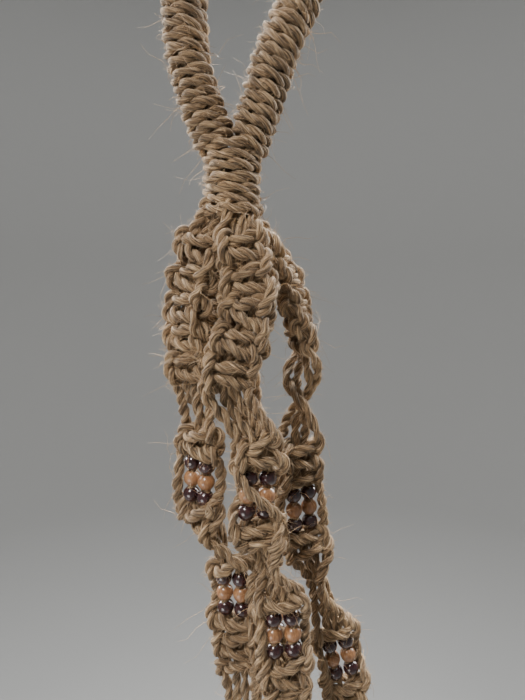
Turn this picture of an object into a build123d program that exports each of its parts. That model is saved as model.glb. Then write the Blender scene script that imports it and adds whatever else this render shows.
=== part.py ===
from build123d import *
import math
import os

os.makedirs("parts", exist_ok=True)

# Hanging macrame planter, as it hangs from its loop with no pot in it.
# Millimetres. The origin is the hanging point, the inside top of the loop. +Z is up.
# The loop lies in the XZ plane.

# Driving sizes
CORD_D = 3.5            # two-ply twisted jute
BEAD_D = 6.0            # round wooden beads
BEAD_BORE_D = 2.9
BEADS_PER_STRING = 3
LOOP_CORE_D = 8.0       # eight folded cords
LOOP_WRAP_D = 14.6      # over the wrapping
LOOP_TOP_R = 19.0       # centre line of the loop's round top
LOOP_LEFT_X = -15.0     # left leg from the neck's axis
LOOP_H = 72.0           # centre line of the top above the neck
LEFT_LEG = [(-9.2, 11), (LOOP_LEFT_X, 30)]      # bends of the legs, from the neck's top
RIGHT_LEG = [(8.6, 11), (13.6, 28)]
RIGHT_LEAN = 24.4       # degrees, the right leg above its last bend
LEG_BEND_R = 60.0
NECK_CORE_D = 14.0      # sixteen cords pressed together
NECK_WRAP_D = 19.4      # over the gathering wrap
NECK_L = 21.5
SINNET_W = 16.5         # flat braid of square knots
SINNET_T = 9.5
SINNET_KNOTS = 5
COLLAR_W = 7.0          # an arm where it leaves the neck
COLLAR_T = 5.0
COLLAR_DROP = 1.8       # below the neck's wrap
BRAID_DROP = 6.0        # the braid's first knot below the neck's wrap
KNOT_T = 9.0            # the knots between the beads
LOWER_KNOT_L = 19.5
ARM_L = 248.8           # from the neck down to the rim pivots
RIM_KNOT_W = 15.5
RIM_KNOT_T = 9.0
RIM_KNOT_L = 12.0
RIM_R = 13.0            # rim knots from the middle of the hanging net
SLANT_DROP = 75.0       # rim pivots down to the net pivots
NET_R = 13.0
NET_KNOT_W = 14.0
NET_KNOT_T = 10.5
NET_KNOT_L = 11.0
LOW_DROP = 125.0        # net pivots down to the bottom gathering wrap
GATHER_L = 24.0
TASSEL_L = 100.0
NET_DRIFT = 18.0        # the empty net hangs a little to +X
JOINT_GAP = 2.4         # clear space round a pivot
FIT = 0.05              # between two pieces that touch
SPACE = 0.35            # between neighbouring cords
TUCK = 1.0              # how far a cord is cut back into its knot

# Sizes that follow from them
HALF = CORD_D / 2
FILLER_D = BEAD_BORE_D - 2 * FIT        # a filler cord is squeezed to this inside the beads
BEAD_PITCH = BEAD_D - 0.25              # from bead to bead on one string, over the flat bore ends
KNOT_W = 2 * BEAD_D + CORD_D
STRETCH = ARM_L / 248.8
SPREAD = (2 * BEAD_D + 2 * CORD_D) / 19.0
NECK_X = -(LOOP_LEFT_X + LOOP_TOP_R)
NECK_TOP = LOOP_WRAP_D / 2 - LOOP_H
NECK_BOTTOM = NECK_TOP - NECK_L
BEAD_RUN = BEADS_PER_STRING * BEAD_PITCH + 0.8
STRING_X = BEAD_D / 2 + SPACE / 2
PAIR = HALF + SPACE / 4
PIVOT_R = 6.0
RIM_Z = NECK_BOTTOM - ARM_L
NET_Z = RIM_Z - SLANT_DROP
LOW_Z = NET_Z - LOW_DROP
GATHER_TOP = LOW_Z - HALF - JOINT_GAP
INNER_R = 2.8 * CORD_D / 3.5
OUTER_R = 7.4 * CORD_D / 3.5
CLUSTER_R = (INNER_R + 3 * OUTER_R) / 4
PIVOT_OUT = 2 * CORD_D - 3.6
NET_OUT = CORD_D - 0.3

# The four arms, named as seen from the front: azimuth, facing of the braid, the upper
# and the lower knots, lengths of braid, open cords, upper and middle knot.
# way: where the arm passes, from the neck's axis, at the top, middle and end of the braid,
# the top and end of the upper knot, the end of the upper beads, the top and end of the
# lower beads, and the end of the lower knot.
ARMS = [
    dict(name="left", az=200, faces=(248, 235, 252), sinnet=49, open=16, upper=10, middle=24,
         way=[(-9, -3.5), (-15.3, -4), (-14.5, -3.5), (-11, -4), (-11.5, -4),
              (-12.5, -4.5), (-1, -4), (0, -4), (2, -4.5)]),
    dict(name="front", az=290, faces=(283, 285, 272), sinnet=49, open=17, upper=10, middle=30,
         way=[(3, -9.5), (6.5, -14), (-2.5, -15.5), (8.5, -15), (9, -15),
              (7.5, -15), (16.5, -16.5), (17.5, -16.5), (18.5, -15.5)]),
    dict(name="right", az=20, faces=(5, 295, 278), sinnet=39, open=34, upper=17, middle=42,
         way=[(9.5, 3.5), (19.5, 6), (25.5, 7.5), (23.5, 6.5), (24, 6.5),
              (25, 6.5), (38, 7), (42, 7), (42, 7)]),
    dict(name="back", az=110, faces=(100, 80, 90), sinnet=49, open=29, upper=17, middle=25,
         way=[(-3.3, 9.3), (-5, 14), (0, 15), (7, 14.5), (9, 15),
              (10.5, 15), (12, 14.5), (13, 14), (14, 13.5)]),
]


def polar(r, degrees, z=0.0):
    a = math.radians(degrees)
    return Vector(r * math.cos(a), r * math.sin(a), z)


def flat_direction(degrees, along):
    """Direction of a flat knot's width: level, in the knot's plane, square to its line."""
    facing = polar(1, degrees)
    return facing.cross(along).normalized()


def section(place, along, facing):
    return Plane(origin=place, x_dir=flat_direction(facing, along), z_dir=along)


def rod(start, end, diameter):
    line = end - start
    plane = Plane(origin=start, z_dir=line.normalized())
    return plane * Cylinder(diameter / 2, line.length, align=(Align.CENTER, Align.CENTER, Align.MIN))


def round_ended(start, end, diameter, both=True):
    """A straight cord with rounded ends."""
    body = rod(start, end, diameter) + Pos(end) * Sphere(diameter / 2)
    if both:
        body = body + Pos(start) * Sphere(diameter / 2)
    return body


smallest_radius = {}


def tube(points, diameter, name):
    """A cord along straight runs joined by tangent arcs."""
    if len(points) == 2:
        return rod(points[0], points[1], diameter)
    radii = []
    for before, corner, after in zip(points, points[1:], points[2:]):
        turn = math.radians((corner - before).get_angle(after - corner))
        run = min((corner - before).length, (after - corner).length)
        radii.append(min(0.45 * run / math.tan(turn / 2), 80.0))
    smallest_radius[name] = min(radii + [smallest_radius.get(name, 999.0)])
    path = FilletPolyline(*points, radius=radii)
    start = Plane(origin=path @ 0, z_dir=path % 0)
    return sweep(start * Circle(diameter / 2), path=path)


def swelling(places, facings, width, thickness, bumps, ends=0.9, lines=None):
    """Sections of a run of flat knots: it swells once for every knot.
    lines: the directions its two end sections are square to."""
    count = 2 * bumps
    spans = [(b - a).length for a, b in zip(places, places[1:])]
    total = sum(spans)
    faces = []
    for i in range(count + 1):
        reach = total * i / count
        k = 0
        while k < len(spans) - 1 and reach > spans[k]:
            reach -= spans[k]
            k += 1
        t = min(reach / spans[k], 1.0)
        place = places[k] + (places[k + 1] - places[k]) * t
        facing = facings[k] + (facings[k + 1] - facings[k]) * t
        along = (places[k + 1] - places[k]).normalized()
        if t > 0.999 and k < len(spans) - 1:
            along = (along + (places[k + 2] - places[k + 1]).normalized()).normalized()
        if lines and i in (0, count):
            along = lines[0 if i == 0 else 1]
        grow = 1.0 if i % 2 else ends
        faces.append(section(place, along, facing) * Ellipse(width / 2 * grow, thickness / 2 * grow))
    return faces


def knotted(places, facings, width, thickness, bumps, lines=None):
    return loft(swelling(places, facings, width, thickness, bumps, lines=lines), ruled=True)


def at_slot(plane, across, out, down=0.0):
    """A point beside a section: across its width, out of its face and along it."""
    return plane.from_local_coords(Vector(across, out, down))


def cut_back(cord, knots):
    for knot in knots:
        cord = cord - knot
    return cord


def save(solids, name):
    shape = solids[0] if len(solids) == 1 else Compound(children=solids)
    export_step(shape, "parts/" + name + ".step")


def first_solid(shape):
    return max(shape.solids(), key=lambda s: s.volume)


neck = Vector(NECK_X, 0, 0)


def loop_half(corners, radii, side):
    """One leg of the loop with half of the round top: its core and its sleeve."""
    points = [Vector(NECK_X + x, 0, NECK_TOP + z) for x, z in corners]
    path = FilletPolyline(*points, radius=radii)
    start = Plane(origin=path @ 0, z_dir=path % 0)
    core = sweep(start * Circle(LOOP_CORE_D / 2), path=path)
    bore = sweep(start * Circle(LOOP_CORE_D / 2 + FIT), path=path)
    sleeve = sweep(start * Circle(LOOP_WRAP_D / 2), path=path) - bore
    beyond = Pos(NECK_X - side * (50 - FIT), 0, NECK_TOP) * Box(100, 40, 50)
    under = Pos(NECK_X, 0, NECK_TOP + FIT - 50) * Box(100, 40, 100)
    return core - under, sleeve - beyond - under


def make_loop():
    """The wrapped bundle of the hanging loop: two legs that meet at the top."""
    leg = LOOP_CORE_D / 2 + SPACE
    top = (LOOP_LEFT_X + LOOP_TOP_R, LOOP_H)
    bend_x, bend_z = RIGHT_LEG[-1]
    right_top = bend_x + (LOOP_H - bend_z) * math.tan(math.radians(RIGHT_LEAN))
    left = [(-leg, 0)] + LEFT_LEG + [(LOOP_LEFT_X, LOOP_H), top]
    right = [(leg, 0)] + RIGHT_LEG + [(right_top, LOOP_H), top]
    radii = [LEG_BEND_R, LEG_BEND_R, LOOP_TOP_R - FIT]
    left_core, left_sleeve = loop_half(left, radii, -1)
    right_core, right_sleeve = loop_half(right, radii, 1)
    save([first_solid(left_core + right_core)], "loop_core")
    save([first_solid(left_sleeve + right_sleeve)], "loop_wrap")


def make_gathering(top, length, place, name):
    """A round bundle of cords with a sleeve of wrapping round it."""
    middle = Pos(place.X, place.Y, top - length / 2)
    core = middle * Cylinder(NECK_CORE_D / 2, length)
    sleeve = middle * (Cylinder(NECK_WRAP_D / 2, length) - Cylinder(NECK_CORE_D / 2 + FIT, length))
    sleeve = fillet(sleeve.edges().filter_by(GeomType.CIRCLE).sort_by(SortBy.RADIUS)[-2:], HALF * 0.8)
    save([core], name + "_core")
    save([sleeve], name + "_wrap")


bead_axes = {}


def make_beads(top, bottom, facing, arm, level):
    """Two strings of beads side by side between two knots."""
    along = (bottom - top).normalized()
    plane = section(top, along, facing)
    slack = ((bottom - top).length - (BEADS_PER_STRING - 1) * BEAD_PITCH) / 2
    for side, across in (("a", -STRING_X), ("b", STRING_X)):
        beads = []
        for i in range(BEADS_PER_STRING):
            place = at_slot(plane, across, 0, slack + i * BEAD_PITCH)
            bore = Plane(origin=place, z_dir=along) * Cylinder(BEAD_BORE_D / 2, 2 * BEAD_D)
            beads.append(Pos(place) * Sphere(BEAD_D / 2) - bore)
        name = "beads_" + arm + "_" + level + "_" + side
        save(beads, name)
        bead_axes[name] = (at_slot(plane, across, 0, slack), along)


def bead_cords(top, bottom, facing, name):
    """Two fillers through the beads and two workers bowing round them."""
    along = (bottom - top).normalized()
    plane = section(top, along, facing)
    length = (bottom - top).length
    cords = []
    for across in (-STRING_X, STRING_X):
        cords.append(rod(at_slot(plane, across, 0), at_slot(plane, across, 0, length), FILLER_D))
    inner = STRING_X + BEAD_D / 2 + 0.55
    outer = STRING_X + BEAD_D / 2 + HALF + SPACE
    for side in (-1, 1):
        points = [at_slot(plane, side * inner, side * 3.0, -TUCK),
                  at_slot(plane, side * outer, side * 2.4, 0.25 * length),
                  at_slot(plane, side * outer, side * 2.4, 0.75 * length),
                  at_slot(plane, side * inner, side * 3.0, length + TUCK)]
        cords.append(tube(points, CORD_D, name))
    return cords


def open_cords(top, bottom, facings, runs, bow, name):
    """Four cords side by side from one knot to the next, two of them bowing a little."""
    along = (bottom - top).normalized()
    start = section(top, along, facings[0])
    end = section(bottom, along, facings[1])
    step = CORD_D + SPACE
    cords = []
    for i in range(4):
        across = (i - 1.5) * step
        out = bow * (1 if i % 2 else -1)
        points = [at_slot(start, across, 0, -TUCK)]
        for k in range(1, runs):
            t = k / runs
            a = at_slot(start, across, out * math.sin(math.pi * t))
            b = at_slot(end, across, out * math.sin(math.pi * t))
            points.append(a + (b - a) * t)
        points.append(at_slot(end, across, 0, TUCK))
        cords.append(tube(points, CORD_D, name))
    return cords


def make_arm(arm):
    name = "arm_" + arm["name"]
    lengths = [arm["sinnet"] * 0.47, arm["sinnet"] * 0.53, arm["open"], arm["upper"]]
    lengths = [n * STRETCH for n in lengths] + [BEAD_RUN, arm["middle"] * STRETCH, BEAD_RUN]
    lengths.append(LOWER_KNOT_L * STRETCH)
    z = NECK_BOTTOM - BRAID_DROP
    stations = []
    for (x, y), drop in zip(arm["way"], lengths + [0.0]):
        stations.append(neck + Vector(x * SPREAD, y * SPREAD, z))
        z -= drop
    top, middle, end, upper, upper_end, beads_end, lower, lower_end, last = stations
    braid, high, low = arm["faces"]
    throat = neck + polar(PIVOT_R, arm["az"], NECK_BOTTOM - COLLAR_DROP)
    hem = RIM_Z + HALF + JOINT_GAP
    rim_end = rim_place(arm) + Vector(0, 0, hem - RIM_Z)
    rim_top = rim_end + Vector(0, 0, RIM_KNOT_L)

    collar = section(throat, Vector(0, 0, -1), braid) * Ellipse(COLLAR_W / 2, COLLAR_T / 2)
    weave = swelling([top, middle, end], [braid] * 3, SINNET_W, SINNET_T, SINNET_KNOTS, 0.84)
    sinnet = loft([collar] + weave, ruled=True)
    above = (beads_end - upper_end).normalized()
    below = (lower_end - lower).normalized()
    upper_knot = knotted([upper, upper_end], [high, high], KNOT_W, KNOT_T, 1, lines=(above, above))
    middle_knot = knotted([beads_end, lower], [high, low], KNOT_W, KNOT_T, 3, lines=(above, below))
    lower_knot = knotted([lower_end, last], [low, low], KNOT_W, KNOT_T, 2, lines=(below, below))
    rim_knot = knotted([rim_top, rim_end], [arm["az"], arm["az"]], RIM_KNOT_W, RIM_KNOT_T, 1)

    cords = []
    for cord in open_cords(end, upper, (braid, high), 2, 1.2, name):
        cords.append(cut_back(cord, [sinnet, upper_knot]))
    for cord in bead_cords(upper_end, beads_end, high, name):
        cords.append(cut_back(cord, [upper_knot, middle_knot]))
    for cord in bead_cords(lower, lower_end, low, name):
        cords.append(cut_back(cord, [middle_knot, lower_knot]))
    for cord in open_cords(last, rim_top, (low, arm["az"]), 3, 1.5, name):
        cords.append(cut_back(cord, [lower_knot, rim_knot]))

    save([sinnet], name + "_sinnet")
    save([upper_knot, middle_knot, lower_knot], name + "_bead_knots")
    save([first_solid(cord) for cord in cords], name + "_cords")
    save([rim_knot], name + "_rim_knot")
    make_beads(upper_end, beads_end, high, arm["name"], "upper")
    make_beads(lower, lower_end, low, arm["name"], "lower")


def rim_place(arm):
    return neck + polar(RIM_R, arm["az"], RIM_Z) + Vector(NET_DRIFT, 0, 0)


def net_place(azimuth):
    return neck + polar(NET_R, azimuth, NET_Z) + Vector(NET_DRIFT, 0, 0)


def make_slant(arm, side, word):
    """A pair of cords from a rim knot to the net knot on one side."""
    quarter = arm["az"] + 45 * side
    top = rim_place(arm) + polar(PIVOT_OUT * side, arm["az"] + 90)
    bottom = net_place(quarter) - polar(NET_OUT * side, quarter + 90)
    apart = polar(PAIR + SPACE / 2, quarter)
    cords = [round_ended(top + apart * s, bottom + apart * s, CORD_D) for s in (-1, 1)]
    save(cords, "slant_" + arm["name"] + "_" + word)


def low_slots(azimuth, r):
    """Four cords of one quarter of the net: one inside, three outside."""
    middle = polar(r - CLUSTER_R, azimuth)
    places = [middle + polar(INNER_R, azimuth)]
    for turn in (-30, 0, 30):
        places.append(middle + polar(OUTER_R, azimuth + turn))
    return places


def make_net(arm):
    """The net knot halfway round to the next arm, with its four low cords."""
    azimuth = arm["az"] + 45
    place = net_place(azimuth)
    top = place - Vector(0, 0, HALF + JOINT_GAP)
    bottom = top - Vector(0, 0, NET_KNOT_L)
    knot = knotted([top, bottom], [azimuth, azimuth], NET_KNOT_W, NET_KNOT_T, 1)
    shift = neck + Vector(NET_DRIFT, 0, 0)
    cords = []
    for high, low in zip(low_slots(azimuth, NET_R), low_slots(azimuth, CLUSTER_R)):
        start = high + shift + Vector(0, 0, bottom.Z + TUCK)
        end = low + shift + Vector(0, 0, LOW_Z)
        cords.append(first_solid(round_ended(start, end, CORD_D, both=False) - knot))
    save([knot], "net_knot_" + arm["name"])
    save(cords, "low_cords_" + arm["name"])


def make_tassel(top):
    """Four loose ends in the middle and twelve round them, spreading a little as they fall."""
    middle = neck + Vector(NET_DRIFT, 0, top)
    runs = 4
    ends = []
    for count, r, spread in ((4, INNER_R, 1.5), (12, 0.94 * OUTER_R, 6.5)):
        for i in range(count):
            azimuth = 360.0 / count * i + 11.0
            points = []
            for k in range(runs + 1):
                t = k / runs
                out = r + spread * SPREAD * t ** 1.5
                swing = 9.0 * t * math.sin(2.2 * t * math.pi + i)
                points.append(middle + polar(out, azimuth + swing, -TASSEL_L * t))
            ends.append(tube(points, CORD_D, "tassel"))
    save(ends, "tassel")


make_loop()
make_gathering(NECK_TOP, NECK_L, neck, "neck")
for arm in ARMS:
    make_arm(arm)
    make_slant(arm, 1, "ahead")
    make_slant(arm, -1, "behind")
    make_net(arm)
make_gathering(GATHER_TOP, GATHER_L, neck + Vector(NET_DRIFT, 0, 0), "gather")
make_tassel(GATHER_TOP - GATHER_L - 0.1)

for name, radius in smallest_radius.items():
    print(name, "smallest bend radius", round(radius, 1), "mm")
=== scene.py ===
import math
import bpy
import numpy as np
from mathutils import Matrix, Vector


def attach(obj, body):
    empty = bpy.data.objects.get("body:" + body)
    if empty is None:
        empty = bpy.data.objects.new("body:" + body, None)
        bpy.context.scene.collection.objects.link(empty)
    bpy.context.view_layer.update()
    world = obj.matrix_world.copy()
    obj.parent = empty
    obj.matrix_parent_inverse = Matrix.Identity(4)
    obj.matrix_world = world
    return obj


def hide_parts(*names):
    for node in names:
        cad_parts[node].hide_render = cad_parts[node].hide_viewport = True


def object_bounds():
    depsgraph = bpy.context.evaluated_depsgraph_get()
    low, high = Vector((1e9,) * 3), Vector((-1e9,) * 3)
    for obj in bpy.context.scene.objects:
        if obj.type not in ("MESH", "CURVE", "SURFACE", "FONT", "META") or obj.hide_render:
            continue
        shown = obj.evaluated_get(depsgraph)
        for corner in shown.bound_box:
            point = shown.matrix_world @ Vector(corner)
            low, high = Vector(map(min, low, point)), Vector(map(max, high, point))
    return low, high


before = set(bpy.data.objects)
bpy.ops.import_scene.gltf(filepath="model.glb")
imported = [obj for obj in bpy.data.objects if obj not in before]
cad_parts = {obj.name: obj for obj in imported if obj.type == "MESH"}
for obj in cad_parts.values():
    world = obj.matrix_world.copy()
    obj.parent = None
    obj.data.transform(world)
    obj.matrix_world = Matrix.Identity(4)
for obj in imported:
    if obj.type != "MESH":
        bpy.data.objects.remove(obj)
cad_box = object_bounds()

# The planter is worked out in millimetres and turned to metres when a mesh is made.
# The floor, the lights and the camera are in metres.
MM = 0.001
rng = np.random.default_rng(7)

CORD_D = 3.5
R = CORD_D / 2
PLY_R = 0.272           # radius and offset of one ply, in cord diameters
PLY_OUT = 0.245
RIDGES = 4
BEAD_D = 6.0
BEAD_BORE_D = 2.9
STRING_X = 3.175
NECK_X = -4.0
NECK_TOP = -64.7
NECK_BOTTOM = -86.2
ARM_L = 248.8
BEAD_RUN = 18.05
HALF_KNOT = 4.4         # height of one half knot beside the beads
LOWER_KNOT_L = 19.5
RIM_R = 13.0
RIM_KNOT_L = 12.0
NET_R = 13.0
NET_KNOT_L = 11.0
NET_DRIFT = 18.0
RIM_Z = NECK_BOTTOM - ARM_L
NET_Z = RIM_Z - 75.0
LOW_Z = NET_Z - 125.0
PIVOT_R = 6.0
PIVOT_OUT = 3.4
NET_OUT = 3.2
PAIR = 2.0125
INNER_R = 2.8
OUTER_R = 7.4
KNOT_DROP = 2.4         # from a pivot cord's surface to the edge of the knot or wrap beside it
GATHER_TOP = LOW_Z - R - KNOT_DROP
GATHER_L = 24.0
TASSEL_L = 100.0
TASSEL_OUT = 0.94 * OUTER_R
LOOP_H = 72.0           # the loop's top above the neck, and the places of its two legs
LEFT_LEG_X = -15.0
RIGHT_LEG_X = 13.6
RIGHT_LEG_Z = 28.0
RIGHT_LEAN = 24.4
LOOP_COIL_R = 5.75      # wrapping cords: radius of their turns, pitch and look
LOOP_COIL_PITCH = 3.62
BUNDLE_COIL_R = 7.85
LAST_TURN_PITCH = 0.62
WRAP_D = 3.75
LAST_TURN_D = 3.9
WRAP_LAY = 14.5
WORKER_D = 3.9          # knotted cords swell a little
CORD_STEP = 0.9         # distance between the points of a cord's line

ARMS = [
    dict(name="left", az=200, crossing=(), faces=(248, 235, 252),
         sinnet=49, open=16, upper=10, middle=24,
         way=[(-9, -3.5), (-15.3, -4), (-14.5, -3.5), (-11, -4), (-11.5, -4),
              (-12.5, -4.5), (-1, -4), (0, -4), (2, -4.5)]),
    dict(name="front", az=290, crossing=("upper",), faces=(283, 285, 272),
         sinnet=49, open=17, upper=10, middle=30,
         way=[(3, -9.5), (6.5, -14), (-2.5, -15.5), (8.5, -15), (9, -15),
              (7.5, -15), (16.5, -16.5), (17.5, -16.5), (18.5, -15.5)]),
    dict(name="right", az=20, crossing=(), faces=(5, 295, 278),
         sinnet=39, open=34, upper=17, middle=42,
         way=[(9.5, 3.5), (19.5, 6), (25.5, 7.5), (23.5, 6.5), (24, 6.5),
              (25, 6.5), (38, 7), (42, 7), (42, 7)]),
    dict(name="back", az=110, crossing=("lower",), faces=(100, 80, 90),
         sinnet=49, open=29, upper=17, middle=25,
         way=[(-3.3, 9.3), (-5, 14), (0, 15), (7, 14.5), (9, 15),
              (10.5, 15), (12, 14.5), (13, 14), (14, 13.5)]),
]


def polar(r, degrees, z=0.0):
    a = math.radians(degrees)
    return np.array([r * math.cos(a), r * math.sin(a), z])


neck = np.array([NECK_X, 0.0, 0.0])
drift = np.array([NET_DRIFT, 0.0, 0.0])


# ---------------------------------------------------------------- lines

def unit(v):
    return v / np.maximum(np.linalg.norm(v, axis=-1, keepdims=True), 1e-12)


def lengths(p):
    return np.r_[0.0, np.cumsum(np.linalg.norm(np.diff(p, axis=0), axis=1))]


def resample(p, step):
    s = lengths(p)
    n = max(int(round(s[-1] / step)), 2)
    t = np.linspace(0, s[-1], n + 1)
    return np.stack([np.interp(t, s, p[:, k]) for k in range(p.shape[1])], 1)


def curved(points, step):
    """A smooth line through the points, with points a step apart."""
    p = np.asarray(points, float)
    p = np.vstack([2 * p[0] - p[1], p, 2 * p[-1] - p[-2]])
    out = []
    for a, b, c, d in zip(p, p[1:], p[2:], p[3:]):
        n = max(int(np.linalg.norm(c - b) / step * 1.5), 2)
        t = np.linspace(0, 1, n, endpoint=False)[:, None]
        out.append(0.5 * (2 * b + (c - a) * t + (2 * a - 5 * b + 4 * c - d) * t ** 2
                          + (3 * b - a - 3 * c + d) * t ** 3))
    out.append(p[-2][None])
    return resample(np.vstack(out), step)


def smoothed(p, times, hold=None):
    p = p.copy()
    for _ in range(times):
        q = p.copy()
        q[1:-1] = 0.25 * p[:-2] + 0.5 * p[1:-1] + 0.25 * p[2:]
        if hold is not None:
            q[hold] = p[hold]
        p = q
    return p


def carried_frames(p, first=None):
    """Tangents and two normals carried along a line without twisting."""
    t = unit(np.gradient(p, axis=0))
    n = np.empty_like(t)
    v = np.array([1.0, 0, 0]) if first is None else np.asarray(first, float)
    if abs(v @ t[0]) > 0.95:
        v = np.array([0, 1.0, 0])
    v = unit(v - (v @ t[0]) * t[0])
    for i in range(len(t)):
        v = v - (v @ t[i]) * t[i]
        v = v / max(math.sqrt(v @ v), 1e-12)
        n[i] = v
    return t, n, np.cross(t, n)


FIBRE_R = 0.062

# Fibres stay within this room round the CAD model.
ROOM = np.array(cad_box) / MM + np.array([[-9.0], [9.0]])


# ---------------------------------------------------------------- meshes

class Builder:
    """Collects vertices, faces and UVs of one mesh, in millimetres."""

    def __init__(self):
        self.v, self.f, self.uv, self.tone, self.count = [], [], [], [], 0

    def tube(self, rings, uv_u, tone=0.5, closed_ends=True, uv_turn=None):
        """rings: n x k x 3. Faces between the rings, wound outwards."""
        n, k, _ = rings.shape
        base = self.count
        self.v.append(rings.reshape(-1, 3))
        self.tone.append(np.full(n * k, tone))
        i = np.arange(n - 1)[:, None]
        j = np.arange(k)[None, :]
        jn = (j + 1) % k
        quad = np.stack([i * k + j, i * k + jn, (i + 1) * k + jn, (i + 1) * k + j], -1)
        self.f.append(quad.reshape(-1, 4) + base)
        turn = np.zeros(n) if uv_turn is None else uv_turn
        u0 = np.repeat(uv_u[:-1], k)
        u1 = np.repeat(uv_u[1:], k)
        va = (j / k + np.zeros((n - 1, 1))).reshape(-1)
        ta, tb = np.repeat(turn[:-1], k), np.repeat(turn[1:], k)
        uv = np.stack([np.stack([u0, va + ta], 1), np.stack([u0, va + 1 / k + ta], 1),
                       np.stack([u1, va + 1 / k + tb], 1), np.stack([u1, va + tb], 1)], 1)
        self.uv.append(uv.reshape(-1, 2))
        self.count += n * k
        if closed_ends:
            for ring, flip in ((0, True), (n - 1, False)):
                tip = rings[ring].mean(0)
                self.v.append(tip[None])
                self.tone.append(np.array([tone]))
                ids = base + ring * k + np.arange(k)
                nxt = np.roll(ids, -1)
                mid = np.full(k, self.count)
                tri = np.stack([nxt, ids, mid], 1) if flip else np.stack([ids, nxt, mid], 1)
                self.f.append(tri)
                self.uv.append(np.tile([uv_u[ring], 0.5], (3 * k, 1)))
                self.count += 1

    def make(self, name, material):
        mesh = bpy.data.meshes.new(name)
        v = np.vstack(self.v) * MM
        sizes = np.concatenate([np.full(len(f), f.shape[1]) for f in self.f])
        loops = np.concatenate([f.reshape(-1) for f in self.f])
        mesh.vertices.add(len(v))
        mesh.vertices.foreach_set("co", v.astype(np.float32).reshape(-1))
        mesh.loops.add(len(loops))
        mesh.loops.foreach_set("vertex_index", loops.astype(np.int32))
        mesh.polygons.add(len(sizes))
        starts = np.r_[0, np.cumsum(sizes)[:-1]]
        mesh.polygons.foreach_set("loop_start", starts.astype(np.int32))
        mesh.polygons.foreach_set("use_smooth", np.full(len(sizes), True))
        layer = mesh.uv_layers.new(name="UVMap")
        layer.data.foreach_set("uv", np.vstack(self.uv).astype(np.float32).reshape(-1))
        tone = mesh.attributes.new("tone", "FLOAT", "POINT")
        tone.data.foreach_set("value", np.concatenate(self.tone).astype(np.float32))
        mesh.update(calc_edges=True)
        mesh.validate()
        obj = bpy.data.objects.new(name, mesh)
        bpy.context.scene.collection.objects.link(obj)
        mesh.materials.append(material)
        return obj


def wander(s, every, size):
    """A slow random value along a line."""
    n = int(s[-1] / every) + 3
    return size * np.interp(s, np.linspace(0, s[-1] + 1, n), rng.normal(size=n))


def add_rope(build, line, diameter=CORD_D, lay=10.5, step=0.55, sides=12, fray=(0.0, 0.0)):
    """Two plies of ridged fibre twisted round each other along a line."""
    p = resample(np.asarray(line, float), step)
    t, n, b = carried_frames(p)
    s = lengths(p)
    d = diameter * (1 + wander(s, 9, 0.06))
    slack = np.cumsum(np.r_[0, np.diff(s)] * (1 + wander(s, 15, 0.2)))
    angle = rng.uniform(0, 2 * math.pi) + 2 * math.pi * slack / lay
    around = np.arange(sides) / sides * 2 * math.pi
    open_start = np.clip(1 - s / max(fray[0], 1e-6), 0, 1)
    open_end = np.clip(1 - (s[-1] - s) / max(fray[1], 1e-6), 0, 1)
    for ply in range(2):
        a = angle + ply * math.pi
        out = np.cos(a)[:, None] * n + np.sin(a)[:, None] * b
        side = -np.sin(a)[:, None] * n + np.cos(a)[:, None] * b
        centre = p + out * (PLY_OUT * d * (1 + 0.35 * open_start + 0.35 * open_end))[:, None]
        lean = unit(t * lay + side * (2 * math.pi * PLY_OUT * diameter))
        across = unit(np.cross(out, lean))
        ripple = rng.normal(size=(len(p), sides))
        ripple = 0.5 * ripple + 0.25 * np.roll(ripple, 1, 0) + 0.25 * np.roll(ripple, -1, 0)
        ridges = np.cos(RIDGES * around[None, :] + 1.1 * s[:, None] + wander(s, 4, 0.9)[:, None])
        size = PLY_R * d[:, None] * (1 + 0.06 * ripple + 0.075 * ridges)
        rings = (centre[:, None, :] + size[:, :, None]
                 * (np.cos(around)[None, :, None] * out[:, None, :]
                    + np.sin(around)[None, :, None] * across[:, None, :]))
        rings[0] = centre[0] + (rings[0] - centre[0]) * 0.35
        rings[-1] = centre[-1] + (rings[-1] - centre[-1]) * 0.35
        tone = float(np.clip(rng.normal(0.5, 0.2), 0, 1))
        build.tube(rings, s / 10.0 + rng.uniform(0, 40), tone, uv_turn=-(a / (2 * math.pi)) * 0.35)


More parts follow.
